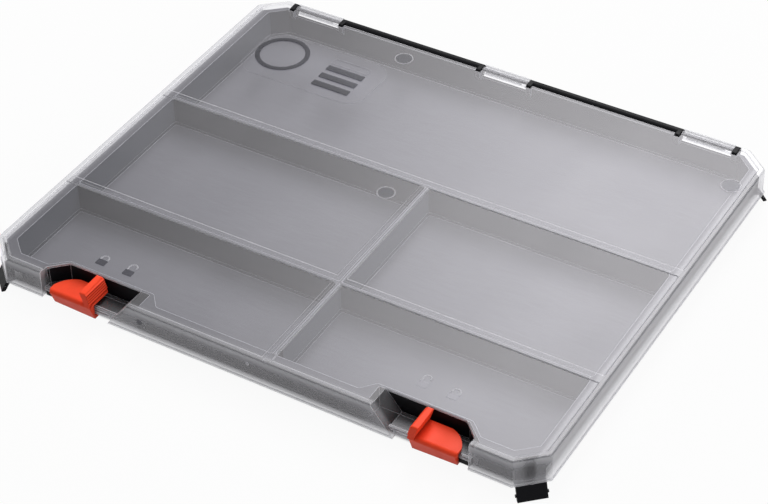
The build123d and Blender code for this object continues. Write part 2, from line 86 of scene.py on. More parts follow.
# Marks of the mould, in mm: pins as x, y and radius, and marks in front as (x, z) and radius
PINS = ((-62.7, 272.1, 5.8), (-5.2, 153.5, 5.5), (161.7, 255.2, 6.0))
PIN_LINE = 0.7  # width of the line round each pin
PIN_LINE_RELIEF = 0.15
PIN_GAP = 0.2
PIN_RELIEF = 0.08
GATE = ((1.5, 11.5), 0.9)
FRONT_BOSS = ((-68, 9.6), 1.7)
FRONT_SINK = 0.2
FRONT_RELIEF = 0.3

# Finishes
EDGE_RADIUS = 0.7 * MM  # how far the light softens over the edges of the tray and the lid
LATCH_EDGE_RADIUS = 0.4 * MM
EDGE_TURN = (0.995, 0.88)  # cosine of the normal's turn where an edge starts and is full
GRAIN_DEPTH = 0.04 * MM
PLASTIC_IOR = 1.49
GLOSS_IOR = 1.6  # above the plastic's own, for the broad sheen of a frosted face

# The view, in metres from the middle of the case
CAMERA_PLACE = (0.51164, -0.83992, 0.81504)
CAMERA_FORWARD = (-0.39977, 0.65312, -0.64313)
CAMERA_UP = (-0.31753, 0.55952, 0.76558)
LENS = 104.95  # mm, on a sensor 36 mm wide
PAPER_REACH = 8  # metres from the case to the paper's edges


def srgb(code):
    """Linear colour of an sRGB hex code."""
    values = [int(code[i : i + 2], 16) / 255 for i in (1, 3, 5)]
    return [v / 12.92 if v <= 0.04045 else ((v + 0.055) / 1.055) ** 2.4 for v in values]


def spot(x, y, z):
    """Metres in the shared frame, from mm.

    x runs from the middle, y from the lid's front face and z from the skirt's foot.
    """
    return Vector((x * MM, (y - FRONT_FACE) * MM, (z + SKIRT_FOOT) * MM))


# ---------------------------------------------------------------- settings


class TraySettings(bpy.types.PropertyGroup):
    colour: FloatVectorProperty(
        name="Colour",
        description="Colour of the tray's black polypropylene",
        subtype="COLOR",
        min=0,
        max=1,
        default=srgb("#0d0d10"),
    )
    # Painted light on the tray's floors and rims, which look up
    floor_light_colour: FloatVectorProperty(
        name="Floor colour",
        description="Colour of the painted light on the floors and the rims",
        subtype="COLOR",
        min=0,
        max=1,
        default=srgb("#74747a"),
    )
    # Painted light on the walls inside the compartments
    wall_light_colour: FloatVectorProperty(
        name="Wall colour",
        description="Colour of the painted light on the compartments' walls",
        subtype="COLOR",
        min=0,
        max=1,
        default=srgb("#2b2c31"),
    )
    # Painted light on the compartments' walls that run from front to back
    side_light_colour: FloatVectorProperty(
        name="Side colour",
        description="Colour of the compartments' walls that run from front to back",
        subtype="COLOR",
        min=0,
        max=1,
        default=srgb("#60646d"),
    )
    # Painted highlights on the tray's edges
    edge_highlight_colour: FloatVectorProperty(
        name="Edge colour",
        description="Colour of the painted highlights on the tray's edges",
        subtype="COLOR",
        min=0,
        max=1,
        default=srgb("#e0e0e6"),
    )
    roughness: FloatProperty(
        name="Roughness",
        description="Roughness of the tray's satin mould finish",
        subtype="FACTOR",
        min=0,
        max=1,
        default=0.45,
    )


class LidSettings(bpy.types.PropertyGroup):
    colour: FloatVectorProperty(
        name="Colour",
        description="Colour of the haze in the frosted polypropylene",
        subtype="COLOR",
        min=0,
        max=1,
        default=srgb("#e6e6eb"),
    )
    haze: FloatProperty(
        name="Haze",
        description="Share of the light that one face of the lid scatters",
        subtype="FACTOR",
        min=0,
        max=1,
        default=0.03,
    )
    # Extra scatter on the lid's edges: partly real, partly painted highlight
    edge_haze_and_highlight: FloatProperty(
        name="Edge haze",
        description="Share of the light that the lid's edges scatter on top of that",
        subtype="FACTOR",
        min=0,
        max=1,
        default=0.75,
    )
    border_haze: FloatProperty(
        name="Border haze",
        description="Share that the lid scatters on top of that outside the tray's rim",
        subtype="FACTOR",
        min=0,
        max=1,
        default=0.15,
    )
    skirt_haze: FloatProperty(
        name="Skirt haze",
        description="Share that the skirt scatters on top of that along its foot and its top",
        subtype="FACTOR",
        min=0,
        max=1,
        default=0.2,
    )
    roughness: FloatProperty(
        name="Roughness",
        description="Roughness of the lid's frosted faces",
        subtype="FACTOR",
        min=0,
        max=1,
        default=0.41,
    )


class LatchSettings(bpy.types.PropertyGroup):
    colour: FloatVectorProperty(
        name="Colour",
        description="Colour of the latches",
        subtype="COLOR",
        min=0,
        max=1,
        default=srgb("#fb4c2c"),
    )
    # Painted shade between the grip's ribs and in the corners
    groove_shade_colour: FloatVectorProperty(
        name="Groove colour",
        description="Colour of the latches between the grip's ribs",
        subtype="COLOR",
        min=0,
        max=1,
        default=srgb("#6a0d05"),
    )
    roughness: FloatProperty(
        name="Roughness",
        description="Roughness of the latches' satin finish",
        subtype="FACTOR",
        min=0,
        max=1,
        default=0.42,
    )


class SignSettings(bpy.types.PropertyGroup):
    ring_diameter: FloatProperty(
        name="Ring diameter",
        description="Outer diameter of the ring in the lid's sign panel",
        subtype="DISTANCE",
        unit="LENGTH",
        min=0.01,
        max=0.06,
        default=0.034,
    )
    ring_stroke: FloatProperty(
        name="Ring stroke",
        description="Width of the ring's band",
        subtype="DISTANCE",
        unit="LENGTH",
        min=0.001,
        max=0.01,
        default=0.003,
    )
    relief: FloatProperty(
        name="Relief",
        description="Height of the raised signs above the lid",
        subtype="DISTANCE",
        unit="LENGTH",
        min=0.0001,
        max=0.001,
        default=0.0003,
    )


class StageSettings(bpy.types.PropertyGroup):
    softbox: FloatProperty(
        name="Softbox",
        description="Radiance of the large softbox behind the case",
        min=0,
        max=20,
        default=11.3,
    )
    top: FloatProperty(
        name="Top light",
        description="Radiance of the broad lamp overhead",
        min=0,
        max=20,
        default=3.0,
    )
    fill: FloatProperty(
        name="Fill",
        description="Radiance of the fill lamp at the case's left",
        min=0,
        max=40,
        default=3.8,
    )
    side: FloatProperty(
        name="Side light",
        description="Radiance of the lamp at the case's right",
        min=0,
        max=40,
        default=10.0,
    )
    room: FloatProperty(
        name="Room",
        description="Level of the studio's even light",
        min=0,
        max=2,
        default=0.25,
    )


# ---------------------------------------------------------------- materials


def new_material(name):
    """An empty node material and its tree."""
    material = bpy.data.materials.new(name)
    material.use_nodes = True
    material.node_tree.nodes.clear()
    return material, material.node_tree


def add_node(tree, kind, inputs=None, **settings):
    """Adds a node with its settings, and its inputs set to values or linked from sockets."""
    node = tree.nodes.new(kind)
    for name, value in settings.items():
        setattr(node, name, value)
    for name, value in (inputs or {}).items():
        if isinstance(value, bpy.types.NodeSocket):
            tree.links.new(value, node.inputs[name])
        else:
            node.inputs[name].default_value = value
    return node


def per_metre(size_mm):
    """Texture scale at which one feature measures this many mm."""
    return 1 / (size_mm * MM)


def within(tree, value, low, high, fade, unit=MM):
    """A mask that is 1 where a value lies between two limits, and fades to 0 outside them.

    The limits and the fade are in mm, or in another unit where one is given.
    """
    middle = (low + high) / 2 * unit
    reach = (high - low) / 2 * unit
    offset = add_node(tree, "ShaderNodeMath", {0: value, 1: middle}, operation="SUBTRACT")
    away = add_node(tree, "ShaderNodeMath", {0: offset.outputs[0]}, operation="ABSOLUTE")
    limits = {"From Min": reach, "From Max": reach + fade * unit, "To Min": 1.0, "To Max": 0.0}
    return add_node(tree, "ShaderNodeMapRange", {"Value": away.outputs[0], **limits}).outputs[0]


def inside_box(tree, place, limits):
    """A mask that is 1 inside a box, given as two limits and a fade in mm for each of its axes."""
    along = add_node(tree, "ShaderNodeSeparateXYZ", {"Vector": place}).outputs
    masks = [within(tree, along[axis], *limit) for axis, limit in limits.items()]
    shared = masks[0]
    for mask in masks[1:]:
        both = add_node(tree, "ShaderNodeMath", {0: shared, 1: mask}, operation="MULTIPLY")
        shared = both.outputs[0]
    return shared


def along_edges(tree, rounded):
    """A mask of the edges, where the rounded normal turns away from the face's own."""
    own = add_node(tree, "ShaderNodeNewGeometry").outputs["True Normal"]
    turn = add_node(tree, "ShaderNodeVectorMath", {0: rounded, 1: own}, operation="DOT_PRODUCT")
    start, full = EDGE_TURN
    limits = {"Value": turn.outputs["Value"], "From Min": start, "From Max": full}
    return add_node(tree, "ShaderNodeMapRange", limits).outputs[0]


def outer_gloss(tree, under, sheen, normal, level=1.0):
    """Lays a gloss over a see-through shader.

    Only outward faces get it, as light that leaves the wall mirrors little.
    """
    fresnel = add_node(tree, "ShaderNodeFresnel", {"IOR": GLOSS_IOR, "Normal": normal})
    inner = add_node(tree, "ShaderNodeNewGeometry").outputs["Backfacing"]
    outward = add_node(
        tree, "ShaderNodeMapRange", {"Value": inner, "To Min": level, "To Max": 0.0}
    )
    share = add_node(
        tree,
        "ShaderNodeMath",
        {0: fresnel.outputs[0], 1: outward.outputs[0]},
        operation="MULTIPLY",
    )
    shaders = {0: share.outputs[0], 1: under.outputs[0], 2: sheen.outputs[0]}
    return add_node(tree, "ShaderNodeMixShader", shaders)


def tray_colour(tree, settings, place, scuffs, edges):
    """Colour of the tray: bare plastic, then painted light on the walls and on faces that look up,
    and painted edge highlights over it.
    """
    # Flow of the melt, some 45 mm wide, in the colour of the bare plastic
    flow = add_node(
        tree,
        "ShaderNodeTexNoise",
        {"Vector": place, "Scale": per_metre(45), "Detail": 3.0, "Roughness": 0.45},
    )
    colour = add_node(
        tree,
        "ShaderNodeMix",
        {
            "Factor": flow.outputs["Fac"],
            "A": (*settings.colour, 1),
            "B": (*[v * 1.7 for v in settings.colour], 1),
        },
        data_type="RGBA",
    )
    # Painted light: everything inside the compartments is drawn paler than the plastic outside
    tub = inside_box(tree, place, TUB_INSIDE)
    colour = add_node(
        tree,
        "ShaderNodeMix",
        {"Factor": tub, "A": colour.outputs["Result"], "B": (*settings.wall_light_colour, 1)},
        data_type="RGBA",
    )
    # Painted light on those that run from front to back, which are drawn lighter
    facing = add_node(tree, "ShaderNodeTexCoord").outputs["Normal"]
    turned = add_node(tree, "ShaderNodeSeparateXYZ", {"Vector": facing}).outputs
    sideways = add_node(tree, "ShaderNodeMath", {0: turned["X"]}, operation="ABSOLUTE")
    side = add_node(
        tree,
        "ShaderNodeMapRange",
        {"Value": sideways.outputs[0], "From Min": 0.6, "From Max": 0.9},
    )
    side = add_node(tree, "ShaderNodeMath", {0: side.outputs[0], 1: tub}, operation="MULTIPLY")
    colour = add_node(
        tree,
        "ShaderNodeMix",
        {
            "Factor": side.outputs[0],
            "A": colour.outputs["Result"],
            "B": (*settings.side_light_colour, 1),
        },
        data_type="RGBA",
    )
    # Painted light on faces that look up: in full on the floors, and less of it on the rims and the
    # dividers
    flat = add_node(
        tree, "ShaderNodeMapRange", {"Value": turned["Z"], "From Min": 0.85, "From Max": 0.95}
    )
    height = add_node(tree, "ShaderNodeSeparateXYZ", {"Vector": place}).outputs["Z"]
    levels = add_node(
        tree,
        "ShaderNodeMath",
        {0: within(tree, height, *RIMS), 1: 0.7, 2: within(tree, height, *FLOORS)},
        operation="MULTIPLY_ADD",
    )
    top_light_share = add_node(
        tree, "ShaderNodeMath", {0: flat.outputs[0], 1: levels.outputs[0]}, operation="MULTIPLY"
    )
    top_light_colour = add_node(
        tree,
        "ShaderNodeMix",
        {
            "Factor": scuffs,
            "A": (*[v * 0.85 for v in settings.floor_light_colour], 1),
            "B": (*[v * 1.15 for v in settings.floor_light_colour], 1),
        },
        data_type="RGBA",
    )
    colour = add_node(
        tree,
        "ShaderNodeMix",
        {
            "Factor": top_light_share.outputs[0],
            "A": colour.outputs["Result"],
            "B": top_light_colour.outputs["Result"],
        },
        data_type="RGBA",
    )
    # Painted highlights on the edges, inside the rim's outer edge
    lines = add_node(
        tree,
        "ShaderNodeMath",
        {0: along_edges(tree, edges), 1: inside_box(tree, place, PAINTED_EDGE_HIGHLIGHTS)},
        operation="MULTIPLY",
    )
    colour = add_node(
        tree,
        "ShaderNodeMix",
        {
            "Factor": lines.outputs[0],
            "A": colour.outputs["Result"],
            "B": (*settings.edge_highlight_colour, 1),
        },
        data_type="RGBA",
    )
    return colour.outputs["Result"]


def black_polypropylene(settings):
    """Injection-moulded black polypropylene with a satin tool finish.

    The eye sees near-black plastic outside, and painted light that makes the walls in the
    compartments paler and the floors and rims greyer, which sets them apart through the lid, with
    faint flow marks, fine scuffs from blades that slid over them, and painted highlights on the
    edges.
    """
    material, tree = new_material("Moulded black polypropylene")
    place = add_node(tree, "ShaderNodeTexCoord").outputs["Object"]
    edges = add_node(tree, "ShaderNodeBevel", {"Radius": EDGE_RADIUS}, samples=6)

    # Dry scuffs, long in X, a millimetre or so apart
    stretched = add_node(tree, "ShaderNodeMapping", {"Vector": place, "Scale": (0.12, 1, 1)})
    scuffs = add_node(
        tree,
        "ShaderNodeTexNoise",
        {
            "Vector": stretched.outputs[0],
            "Scale": per_metre(1.6),
            "Detail": 4.0,
            "Roughness": 0.6,
        },
    )
    # Spark-eroded grain: 0.15 mm on the real tray, drawn at 0.7 mm so that it shows
    grain = add_node(
        tree, "ShaderNodeTexNoise", {"Vector": place, "Scale": per_metre(0.7), "Detail": 2.0}
    )
    shine = add_node(
        tree,
        "ShaderNodeMapRange",
        {
            "Value": scuffs.outputs["Fac"],
            "From Min": 0.3,
            "From Max": 0.75,
            "To Min": settings.roughness - 0.04,
            "To Max": settings.roughness + 0.08,
        },
    )
    relief = add_node(
        tree,
        "ShaderNodeBump",
        {
            "Height": grain.outputs["Fac"],
            "Strength": 0.04,
            "Distance": GRAIN_DEPTH,
            "Normal": edges.outputs[0],
        },
    )
    body = add_node(
        tree,
        "ShaderNodeBsdfPrincipled",
        {
            "Base Color": tray_colour(
                tree, settings, place, scuffs.outputs["Fac"], edges.outputs[0]
            ),
            "Roughness": shine.outputs[0],
            "IOR": PLASTIC_IOR,
            "Specular IOR Level": 0.11,
            "Normal": relief.outputs[0],
        },
    )
    add_node(tree, "ShaderNodeOutputMaterial", {"Surface": body.outputs[0]})
    return material


def lid_haze(tree, settings, place, clouds, edges, level):
    """Share of light that the lid scatters: a thin haze, and more on edges, where it is partly
    painted highlight, on the border and on the skirt.
    """
    haze = add_node(
        tree,
        "ShaderNodeMapRange",
        {
            "Value": clouds,
            "From Min": 0.25,
            "From Max": 0.75,
            "To Min": settings.haze * level * 0.75,
            "To Max": settings.haze * level * 1.25,
        },
    )
    # Edges scatter more, as the light runs along the wall there, and this paler edge also stands in
    # for the highlight lines along them, a painted highlight. The eye sees it on the outer side.
    inner = add_node(tree, "ShaderNodeNewGeometry").outputs["Backfacing"]
    edge_share = add_node(
        tree,
        "ShaderNodeMapRange",
        {"Value": inner, "To Min": settings.edge_haze_and_highlight * level, "To Max": 0.0},
    )
    lines = add_node(
        tree,
        "ShaderNodeMath",
        {0: along_edges(tree, edges), 1: edge_share.outputs[0]},
        operation="MULTIPLY",
    )
    # Outside the tray's rim the lid is thicker, and milkier
    border = add_node(
        tree,
        "ShaderNodeMapRange",
        {
            "Value": inside_box(tree, place, LID_OVER_TRAY),
            "To Min": settings.border_haze * level,
            "To Max": 0.0,
        },
    )
    layers = [lines, border]
    # The skirt is milky along its foot, and a little under the lid's rounded edge
    height = add_node(tree, "ShaderNodeSeparateXYZ", {"Vector": place}).outputs["Z"]
    facing = add_node(tree, "ShaderNodeTexCoord").outputs["Normal"]
    upward = add_node(tree, "ShaderNodeSeparateXYZ", {"Vector": facing}).outputs["Z"]
    steep = within(tree, upward, -0.5, 0.5, 0.1, unit=1)
    for start, full in SKIRT_BANDS:
        rise = add_node(
            tree,
            "ShaderNodeMapRange",
            {
                "Value": height,
                "From Min": start * MM,
                "From Max": full * MM,
                "To Max": settings.skirt_haze * level,
            },
        )
        layers.append(
            add_node(tree, "ShaderNodeMath", {0: rise.outputs[0], 1: steep}, operation="MULTIPLY")
        )
    for layer in layers:
        haze = add_node(
            tree, "ShaderNodeMath", {0: haze.outputs[0], 1: layer.outputs[0]}, operation="ADD"
        )
    return haze.outputs[0]


def frosted_polypropylene(settings, name="Frosted polypropylene", level=1.0):
    """Natural polypropylene from a spark-eroded mould, which is see-through with a milky haze.

    The eye sees what lies under it a little greyed, a soft sheen on top, slow clouds where the
    wall's thickness varies, and a fine stipple where the light rakes over it.
    """
    material, tree = new_material(name)
    place = add_node(tree, "ShaderNodeTexCoord").outputs["Object"]
    edges = add_node(tree, "ShaderNodeBevel", {"Radius": EDGE_RADIUS}, samples=6)

    # Clouds some 60 mm wide, where the wall is a little thicker
    clouds = add_node(
        tree,
        "ShaderNodeTexNoise",
        {"Vector": place, "Scale": per_metre(60), "Detail": 4.0, "Roughness": 0.5},
    )
    # Stipple: 0.2 mm on the real lid, drawn at 0.9 mm so that it shows
    stipple = add_node(
        tree, "ShaderNodeTexNoise", {"Vector": place, "Scale": per_metre(0.9), "Detail": 2.0}
    )
    relief = add_node(
        tree,
        "ShaderNodeBump",
        {
            "Height": stipple.outputs["Fac"],
            "Strength": 0.05,
            "Distance": GRAIN_DEPTH,
            "Normal": edges.outputs[0],
        },
    )
    through = add_node(tree, "ShaderNodeBsdfTransparent", {"Color": (*srgb("#f6f6f7"), 1)})
    milk = add_node(
        tree,
        "ShaderNodeBsdfPrincipled",
        {
            "Base Color": (*settings.colour, 1),
            "Roughness": settings.roughness,
            "IOR": PLASTIC_IOR,
            "Normal": relief.outputs[0],
        },
    )
    glow = add_node(
        tree,
        "ShaderNodeBsdfTranslucent",
        {"Color": (*settings.colour, 1), "Normal": relief.outputs[0]},
    )
    # About a third of the scattered light goes on through the wall
    scatter = add_node(
        tree, "ShaderNodeMixShader", {0: 0.35, 1: milk.outputs[0], 2: glow.outputs[0]}
    )
    haze = lid_haze(tree, settings, place, clouds.outputs["Fac"], edges.outputs[0], level)
    body = add_node(
        tree,
        "ShaderNodeMixShader",
        {0: haze, 1: through.outputs[0], 2: scatter.outputs[0]},
    )
    # The sheen varies with the clouds, as the frosting does
    satin = add_node(
        tree,
        "ShaderNodeMapRange",
        {
            "Value": clouds.outputs["Fac"],
            "From Min": 0.25,
            "From Max": 0.75,
            "To Min": settings.roughness - 0.03,
            "To Max": settings.roughness + 0.03,
        },
    )
    sheen = add_node(
        tree,
        "ShaderNodeBsdfGlossy",
        {
            "Color": (*srgb("#fdfbff"), 1),
            "Roughness": satin.outputs[0],
            "Normal": relief.outputs[0],
        },
    )
    faced = outer_gloss(tree, body, sheen, relief.outputs[0], level)
    add_node(tree, "ShaderNodeOutputMaterial", {"Surface": faced.outputs[0]})
    return material


def polished_polypropylene(name, tint):
    """Patches of the lid from polished spots of the mould.

    They scatter less than the frosted plastic round them, so the eye sees more of the dark tray
    through them, and a crisper reflection on them.
    """
    material, tree = new_material(name)
    place = add_node(tree, "ShaderNodeTexCoord").outputs["Object"]
    # Faint waves of the hand polish, 4 mm apart
    waves = add_node(
        tree, "ShaderNodeTexNoise", {"Vector": place, "Scale": per_metre(4), "Detail": 1.0}
    )
    relief = add_node(
        tree,
        "ShaderNodeBump",
        {"Height": waves.outputs["Fac"], "Strength": 0.03, "Distance": 0.05 * MM},
    )
    through = add_node(tree, "ShaderNodeBsdfTransparent", {"Color": (*srgb(tint), 1)})
    sheen = add_node(
        tree,
        "ShaderNodeBsdfGlossy",
        {"Color": (*srgb("#ffffff"), 1), "Roughness": 0.34, "Normal": relief.outputs[0]},
    )
    faced = outer_gloss(tree, through, sheen, relief.outputs[0], level=0.55)
    add_node(tree, "ShaderNodeOutputMaterial", {"Surface": faced.outputs[0]})
    return material


def red_acetal(settings):
    """Moulded acetal in orange red, the slippery plastic of sliding latches.

    The eye sees a strong, even colour that glows a little at thin edges and has painted shade, deep
    red, in the grooves, and a satin face with patches that thumbs have rubbed shinier.
    """
    material, tree = new_material("Moulded orange-red acetal")
    place = add_node(tree, "ShaderNodeTexCoord").outputs["Object"]
    edges = add_node(tree, "ShaderNodeBevel", {"Radius": LATCH_EDGE_RADIUS}, samples=4)
    # Rubbed patches, 6 mm wide
    rub = add_node(
        tree, "ShaderNodeTexNoise", {"Vector": place, "Scale": per_metre(6), "Detail": 3.0}
    )
    # Mould grain: 0.1 mm on the real latch, drawn at 0.5 mm so that it shows
    grain = add_node(
        tree, "ShaderNodeTexNoise", {"Vector": place, "Scale": per_metre(0.5), "Detail": 2.0}
    )
    shine = add_node(
        tree,
        "ShaderNodeMapRange",
        {
            "Value": rub.outputs["Fac"],
            "To Min": settings.roughness - 0.1,
            "To Max": settings.roughness + 0.1,
        },
    )
    tint = add_node(
        tree,
        "ShaderNodeMix",
        {
            "Factor": rub.outputs["Fac"],
            "A": (*settings.colour, 1),
            "B": (*[v * 0.86 for v in settings.colour], 1),
        },
        data_type="RGBA",
    )
    # Painted shade: deeper red between the grip's ribs and in the corners
    crease_shade = add_node(tree, "ShaderNodeAmbientOcclusion", {"Distance": 2.5 * MM}, samples=6)
    tint = add_node(
        tree,
        "ShaderNodeMix",
        {
            "Factor": crease_shade.outputs["AO"],
            "A": (*settings.groove_shade_colour, 1),
            "B": tint.outputs["Result"],
        },
        data_type="RGBA",
    )
    relief = add_node(
        tree,
        "ShaderNodeBump",
        {
            "Height": grain.outputs["Fac"],
            "Strength": 0.2,
            "Distance": GRAIN_DEPTH,
            "Normal": edges.outputs[0],
        },
    )
    body = add_node(
        tree,
        "ShaderNodeBsdfPrincipled",
        {
            "Base Color": tint.outputs["Result"],
            "Roughness": shine.outputs[0],
            "IOR": 1.48,
            "Specular IOR Level": 0.12,
            "Subsurface Weight": 0.05,
            "Subsurface Radius": (1.0, 0.25, 0.1),
            "Subsurface Scale": 0.8 * MM,
            "Normal": relief.outputs[0],
        },
    )
    add_node(tree, "ShaderNodeOutputMaterial", {"Surface": body.outputs[0]})
    return material


def studio_paper():
    """White studio paper, which the camera sees as plain white with the case's faint shadow."""
    material, tree = new_material("White studio paper")
    rays = add_node(tree, "ShaderNodeLightPath").outputs
    seen = rays["Is Camera Ray"]
    for kind in ("Is Glossy Ray", "Is Transmission Ray"):
        either = add_node(tree, "ShaderNodeMath", {0: seen, 1: rays[kind]}, operation="MAXIMUM")
        seen = either.outputs[0]
    # The case's shade lies under it, where the paper isn't plain white
    place = add_node(tree, "ShaderNodeTexCoord").outputs["Object"]
    shade = inside_box(tree, place, PAPER_SHADE)
    lit = add_node(tree, "ShaderNodeMath", {0: 1.0, 1: shade}, operation="SUBTRACT")
    seen = add_node(tree, "ShaderNodeMath", {0: seen, 1: lit.outputs[0]}, operation="MULTIPLY")
    # The rest takes the lamps' light, so that the case still casts a faint shadow
    share = add_node(tree, "ShaderNodeMath", {0: seen.outputs[0], 1: 0.94}, operation="MULTIPLY")
    paper = add_node(tree, "ShaderNodeBsdfDiffuse", {"Color": (*srgb("#cacaca"), 1)})
    white = add_node(
        tree, "ShaderNodeEmission", {"Color": (*srgb("#ffffff"), 1), "Strength": 1.0}
    )
    shaders = {0: share.outputs[0], 1: paper.outputs[0], 2: white.outputs[0]}
    surface = add_node(tree, "ShaderNodeMixShader", shaders)
    add_node(tree, "ShaderNodeOutputMaterial", {"Surface": surface.outputs[0]})
    return material


# ---------------------------------------------------------------- shapes


def rounded_outline(x_range, y_range, radius, steps=6):
    """Corner-rounded rectangle as (x, y) points in mm, anticlockwise."""
    (left, right), (front, back) = x_range, y_range
    centres = (
        (right - radius, front + radius),
        (right - radius, back - radius),
        (left + radius, back - radius),
        (left + radius, front + radius),
    )
    points = []
    for quarter, (x, y) in enumerate(centres):
        for step in range(steps + 1):
            angle = math.radians(90) * (quarter - 1 + step / steps)
            points.append((x + radius * math.cos(angle), y + radius * math.sin(angle)))
    return points


def circle_outline(centre, radius, steps=64):
    """Circle as (x, y) points in mm, anticlockwise."""
    turns = [2 * math.pi * step / steps for step in range(steps)]
    return [(centre[0] + radius * math.cos(t), centre[1] + radius * math.sin(t)) for t in turns]


def ring_outlines(centre, radius, band, steps=64):
    """Outer and inner circle of a ring, in mm."""
    return circle_outline(centre, radius, steps), circle_outline(centre, radius - band, steps)


def padlock_outlines(x, y, shut):
    """Body and shackle of a padlock sign whose body's middle is at x, y, in mm."""
    half_width, half_height = LOCK_BODY
    body = rounded_outline(
        (x - half_width, x + half_width), (y - half_height, y + half_height), 0.5, 3
    )
    body_top = y + half_height
    bow_foot = y + SHACKLE_RISE + (0 if shut else SHACKLE_LIFT)
    free_end = body_top if shut else bow_foot - SHACKLE_TIP
    reach, rise = SHACKLE_REACH
    inner_reach, inner_rise = reach - SHACKLE_BAND, rise - SHACKLE_BAND
    turns = [math.pi * step / 12 for step in range(13)]
    shackle = [
        (x + reach, free_end),
        *[(x + reach * math.cos(t), bow_foot + rise * math.sin(t)) for t in turns],
        (x - reach, body_top),
        (x - inner_reach, body_top),
        *[
            (x + inner_reach * math.cos(t), bow_foot + inner_rise * math.sin(t))
            for t in reversed(turns)
        ],
        (x + inner_reach, free_end),
    ]
    return body, shackle


def on_front(x, z, height):
    """Like spot(), for a shape on the lid's front face: x, z and its height before it, in mm."""
    return spot(x, -height, z)


def raised_plate(name, shapes, foot, height, material, locate=spot):
    """Mesh of flat raised shapes, in mm.

    Each shape is an outline and None, or an outline and a hole of as many points.
    """
    bm = bmesh.new()
    for outer, hole in shapes:
        count = len(outer)
        loops = []
        for outline in (outer, hole):
            if outline:
                low = [bm.verts.new(locate(x, y, foot)) for x, y in outline]
                high = [bm.verts.new(locate(x, y, foot + height)) for x, y in outline]
                loops.append((low, high))
        for low, high in loops:
            for i in range(count):
                j = (i + 1) % count
                bm.faces.new((low[i], low[j], high[j], high[i]))
        if hole:
            for level in (0, 1):
                rim, edge = loops[0][level], loops[1][level]
                for i in range(count):
                    j = (i + 1) % count
                    bm.faces.new((rim[i], rim[j], edge[j], edge[i]))
        else:
            for face in loops[0]:
                bm.faces.new(face)
    bmesh.ops.recalc_face_normals(bm, faces=bm.faces)
    mesh = bpy.data.meshes.new(name)
    bm.to_mesh(mesh)
    bm.free()
    mesh.materials.append(material)
    piece = bpy.data.objects.new(name, mesh)
    bpy.context.scene.collection.objects.link(piece)
    bevel = piece.modifiers.new("Softened edge", "BEVEL")
    bevel.width = 0.3 * height * MM
    bevel.segments = 2
    return piece


def mould_into_lid(*pieces):
    """Makes raised shapes part of the lid's moulding."""
    for piece in pieces:
        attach(piece, "lid")


def dress(node, material):
    """Gives a CAD node this material in all its slots."""
    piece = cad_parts[node]
    piece.data.materials.clear()
    piece.data.materials.append(material)


# ---------------------------------------------------------------- operators


class BLADECASE_OT_stage(bpy.types.Operator):
    """Sets the camera, the lamps and the white paper that the case stands on"""

    bl_idname = "bladecase.stage"
    bl_label = "Stage"

    def execute(self, context):
        settings = context.scene.blade_case_stage
        scene = context.scene

        data = bpy.data.cameras.new("Camera")
        data.lens = LENS
        data.sensor_width = 36
        data.sensor_fit = "HORIZONTAL"
        camera = bpy.data.objects.new("Camera", data)
        scene.collection.objects.link(camera)
        forward, up = Vector(CAMERA_FORWARD), Vector(CAMERA_UP)
        turn = Matrix((forward.cross(up), up, -forward)).transposed().to_4x4()
        camera.matrix_world = Matrix.Translation(CAMERA_PLACE) @ turn
        scene.camera = camera

        # Name, place and size in metres, and radiance. All of them face the case.
        lamps = (
            ("Softbox", (-0.36, 1.31, 1.68), (0.75, 1.3), settings.softbox),
            ("Top light", (-0.1, 0.1, 2.2), (1.0, 1.0), settings.top),
            ("Left fill", (-1.5, -0.1, 0.8), (0.6, 0.6), settings.fill),
            ("Right fill", (1.6, 0.0, 0.8), (0.6, 0.6), settings.side),
        )
        for name, place, size, radiance in lamps:
            lamp = bpy.data.lights.new(name, "AREA")
            lamp.shape = "RECTANGLE"
            lamp.size, lamp.size_y = size
            lamp.energy = radiance * math.pi * size[0] * size[1]
            holder = bpy.data.objects.new(name, lamp)
            scene.collection.objects.link(holder)
            holder.location = place
            holder.rotation_euler = (-Vector(place)).to_track_quat("-Z", "Y").to_euler()

        world = bpy.data.worlds.new("Studio")
        scene.world = world
        world.use_nodes = True
        tree = world.node_tree
        tree.nodes.clear()
        # White to the eye and through the lid. Its reflections keep the room's even level.
        rays = add_node(tree, "ShaderNodeLightPath").outputs
        seen = add_node(
            tree,
            "ShaderNodeMath",
            {0: rays["Is Camera Ray"], 1: rays["Is Transmission Ray"]},
            operation="MAXIMUM",
        )
        level = add_node(
            tree,
            "ShaderNodeMapRange",
            {"Value": seen.outputs[0], "To Min": settings.room, "To Max": 1.0},
        )
        light = add_node(
            tree,
            "ShaderNodeBackground",
            {"Color": (*srgb("#ffffff"), 1), "Strength": level.outputs[0]},
        )
        add_node(tree, "ShaderNodeOutputWorld", {"Surface": light.outputs[0]})

        mesh = bpy.data.meshes.new("floor")
        bm = bmesh.new()
        bmesh.ops.create_grid(bm, x_segments=1, y_segments=1, size=PAPER_REACH)
        bm.to_mesh(mesh)
        bm.free()
        floor = bpy.data.objects.new("floor", mesh)
        scene.collection.objects.link(floor)
        mesh.materials.append(studio_paper())
        scene.view_settings.view_transform = "Standard"
        return {"FINISHED"}


class BLADECASE_OT_tray(bpy.types.Operator):
    """Finishes the tray in moulded black polypropylene"""

    bl_idname = "bladecase.tray"
    bl_label = "Tray"

    def execute(self, context):
        dress("tray", black_polypropylene(context.scene.blade_case_tray))
        return {"FINISHED"}


class BLADECASE_OT_lid(bpy.types.Operator):
    """Finishes the lid in frosted polypropylene"""

    bl_idname = "bladecase.lid"
    bl_label = "Lid"

    def execute(self, context):
        dress("lid", frosted_polypropylene(context.scene.blade_case_lid))
        return {"FINISHED"}


class BLADECASE_OT_latches(bpy.types.Operator):
    """Finishes the two sliding latches in orange-red acetal"""

    bl_idname = "bladecase.latches"
    bl_label = "Latches"

    def execute(self, context):
        material = red_acetal(context.scene.blade_case_latches)
        for node in ("latch_left", "latch_right"):
            dress(node, material)
        return {"FINISHED"}


